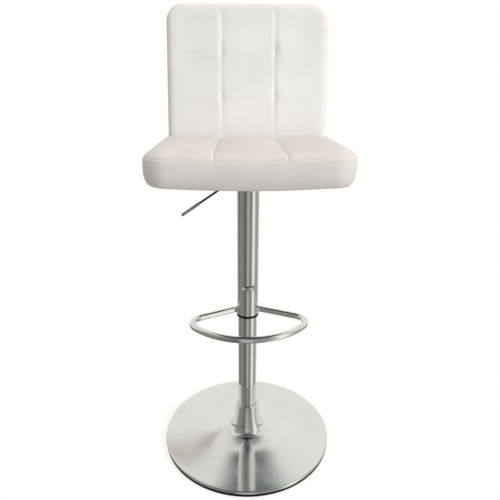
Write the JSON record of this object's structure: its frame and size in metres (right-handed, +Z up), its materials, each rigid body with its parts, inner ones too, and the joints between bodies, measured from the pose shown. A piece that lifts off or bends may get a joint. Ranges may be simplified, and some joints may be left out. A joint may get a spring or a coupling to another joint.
{
  "type": "bar stool",
  "caption": "Height-adjustable swivel bar stool with a quilted seat and low back, a chromed lift column, a D-shaped footrest and a round trumpet base.",
  "frame": {"origin": "on the floor, at the centre of the column", "axes": "+Z up along the column, -Y the way the sitter faces, +X to the sitter's left"},
  "size_m": [0.444, 0.444, 1.1012],
  "materials": {
    "chrome": "polished",
    "black_rubber": "matte",
    "black_plastic": "satin",
    "bare_steel": "satin",
    "zinc_fasteners": "satin",
    "black_steel": "satin",
    "brass": "satin",
    "button_steel": "polished",
    "plywood": "matte",
    "foam": "matte",
    "white_faux_leather": "satin",
    "black_lining": "matte"
  },
  "bodies": {
    "base": {"floor_ring": "black_rubber", "base_shell": "chrome", "base_collar": "chrome", "base_plate": "bare_steel", "column_foot": "bare_steel", "foot_bolts": "zinc_fasteners", "foot_nuts": "zinc_fasteners", "column_tube": "chrome", "column_guide_bush": "black_plastic", "lower_race": "bare_steel", "ball_cage": "brass", "bearing_balls": "bare_steel"},
    "swivel_core": {"piston_rod": "bare_steel", "rod_washer": "bare_steel", "rod_clip": "black_steel", "upper_race": "bare_steel", "rubber_bumper": "black_rubber", "piston_head": "brass", "piston_seal": "black_rubber"},
    "seat_carriage": {"gas_cylinder": "black_steel", "rod_guide": "black_plastic", "rod_seal": "black_rubber", "valve_body": "brass", "taper_cup": "black_steel", "sleeve_tube": "chrome", "sleeve_guide_ring": "black_plastic", "footrest_loop": "chrome", "mechanism_housing": "black_steel", "swivel_plate": "black_steel", "lever_pivot_pin": "bare_steel", "pivot_clip": "black_steel", "plate_bolts": "zinc_fasteners", "plate_washers": "zinc_fasteners", "tee_nuts": "zinc_fasteners", "seat_board": "plywood", "seat_foam": "foam", "seat_cover": "white_faux_leather", "dust_cover": "black_lining", "back_bracket_left": "black_steel", "back_bracket_right": "black_steel", "bracket_screws": "zinc_fasteners", "back_board": "plywood", "back_foam": "foam", "back_rear_pad": "foam", "back_cover": "white_faux_leather"},
    "lever": {"lever_arm": "black_steel", "lever_grip": "bare_steel"},
    "valve": {"valve_pin": "button_steel"}
  },
  "joints": [
    {"name": "seat_swivel", "type": "hinge", "parent": "base", "child": "swivel_core", "pos_m": [0, 0, 0.0245], "axis": [0, 0, 1], "continuous": true},
    {"name": "seat_lift", "type": "slide", "parent": "swivel_core", "child": "seat_carriage", "axis": [0, 0, 1], "range_m": [-0.21, 0]},
    {"name": "lever_pull", "type": "hinge", "parent": "seat_carriage", "child": "lever", "pos_m": [-0.026, 0, 0.7115], "axis": [0, 1, 0], "range_deg": [0, 6], "stiffness_Nm_per_rad": 2.5, "springref_deg": -8.59},
    {"name": "valve_push", "type": "slide", "parent": "seat_carriage", "child": "valve", "axis": [0, 0, -1], "range_m": [0, 0.003]}
  ],
  "couplings": [
    {"joint": "valve_push", "follows": "lever_pull", "m_per_rad": 0.026}
  ]
}
